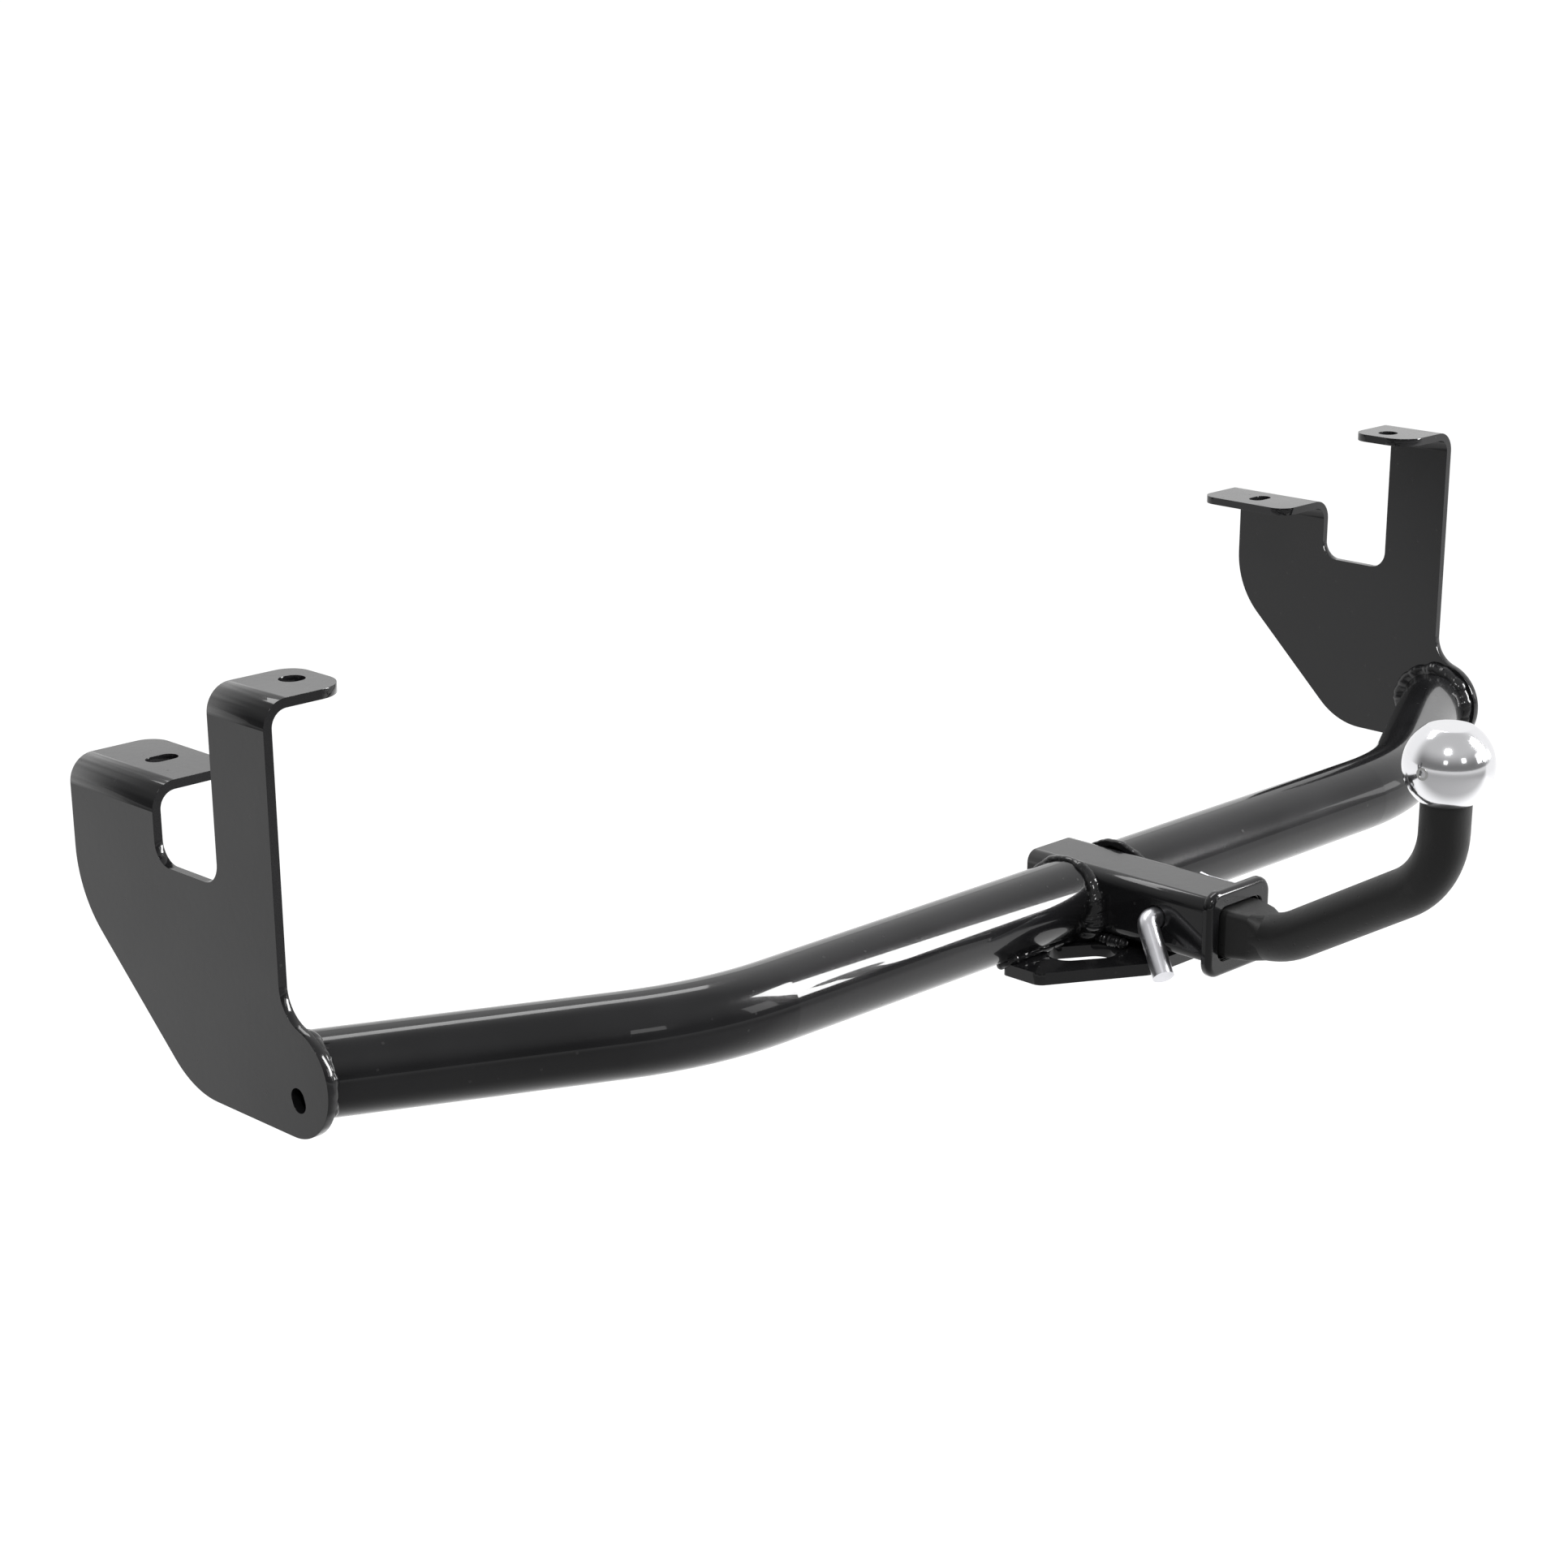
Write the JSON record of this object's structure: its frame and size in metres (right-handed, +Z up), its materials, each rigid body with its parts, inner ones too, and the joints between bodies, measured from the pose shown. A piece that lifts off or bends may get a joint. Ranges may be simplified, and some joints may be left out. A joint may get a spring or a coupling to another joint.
{
  "type": "receiver hitch",
  "caption": "Frame-mount receiver hitch: bent main tube between folded side brackets, short receiver with collar, safety-chain plate, and a pinned swan-neck mount with chromed tow ball.",
  "frame": {"origin": "midway between the rear flange slots, on the plane of the rear flanges' top faces, which seat against the vehicle frame", "axes": "+X to the vehicle's right, +Y to its front, +Z up; the tow ball is on the -Y side"},
  "size_m": [0.98, 0.5269, 0.2179],
  "materials": {
    "powder_coat": "gloss",
    "weld_bead": "gloss, rippled",
    "forged_black": "satin",
    "ball_chrome": "mirror",
    "plug_steel": "satin",
    "pin_zinc": "satin zinc",
    "clip_steel": "satin"
  },
  "bodies": {
    "frame": {"main_tube": "powder_coat", "receiver_tube": "powder_coat", "receiver_collar": "powder_coat", "collar_weld": "weld_bead", "chain_plate": "powder_coat", "left_bracket": "powder_coat", "right_bracket": "powder_coat", "left_bracket_weld": "weld_bead", "right_bracket_weld": "weld_bead", "left_receiver_weld": "weld_bead", "right_receiver_weld": "weld_bead", "left_chain_weld": "weld_bead", "right_chain_weld": "weld_bead", "left_bridge_weld": "weld_bead", "right_bridge_weld": "weld_bead"},
    "ball_mount": {"ball_mount": "forged_black", "tow_ball": "ball_chrome", "ball_plug": "plug_steel"},
    "hitch_pin": {"hitch_pin": "pin_zinc"},
    "pin_clip": {"pin_clip": "clip_steel"}
  },
  "joints": [
    {"name": "ball_mount_play", "type": "slide", "parent": "frame", "child": "ball_mount", "axis": [0, -1, 0], "range_m": [-0.0005, 0.0005]},
    {"name": "hitch_pin_turn", "type": "hinge", "parent": "frame", "child": "hitch_pin", "pos_m": [0, -0.1898, -0.182], "axis": [-1, 0, 0], "range_deg": [-30, 150]},
    {"name": "pin_clip_slide", "type": "slide", "parent": "hitch_pin", "child": "pin_clip", "axis": [0, -1, 0], "range_m": [0, 0.03]}
  ]
}
